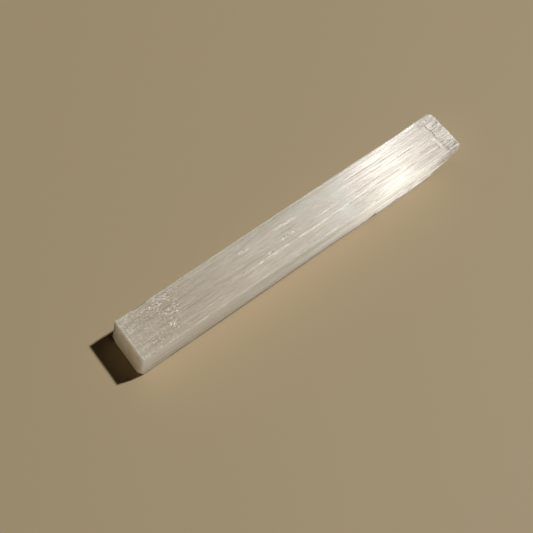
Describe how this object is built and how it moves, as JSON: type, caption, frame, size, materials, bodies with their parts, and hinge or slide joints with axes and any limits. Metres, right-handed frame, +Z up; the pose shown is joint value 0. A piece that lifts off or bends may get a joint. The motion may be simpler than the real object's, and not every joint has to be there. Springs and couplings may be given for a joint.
{
  "type": "selenite crystal blade",
  "caption": "Rectangular stick of fibrous satin-spar selenite with long split ledges, one sawn end and one broken, chipped end, lying on its flat underside.",
  "frame": {"origin": "middle of the flat underside, at the centre of the bounding box in X and Y", "axes": "+X runs along the fibres from the sawn end to the broken end, -Y is the near long side, +Z is up from the underside"},
  "size_m": [0.2, 0.023, 0.0182],
  "materials": {
    "satin_spar": "milky translucent fibrous gypsum: silky sheen across the fibres, split ledges, fine pits, matt sawn end"
  },
  "bodies": {
    "root": {"selenite_blade": "satin_spar"}
  },
  "joints": []
}
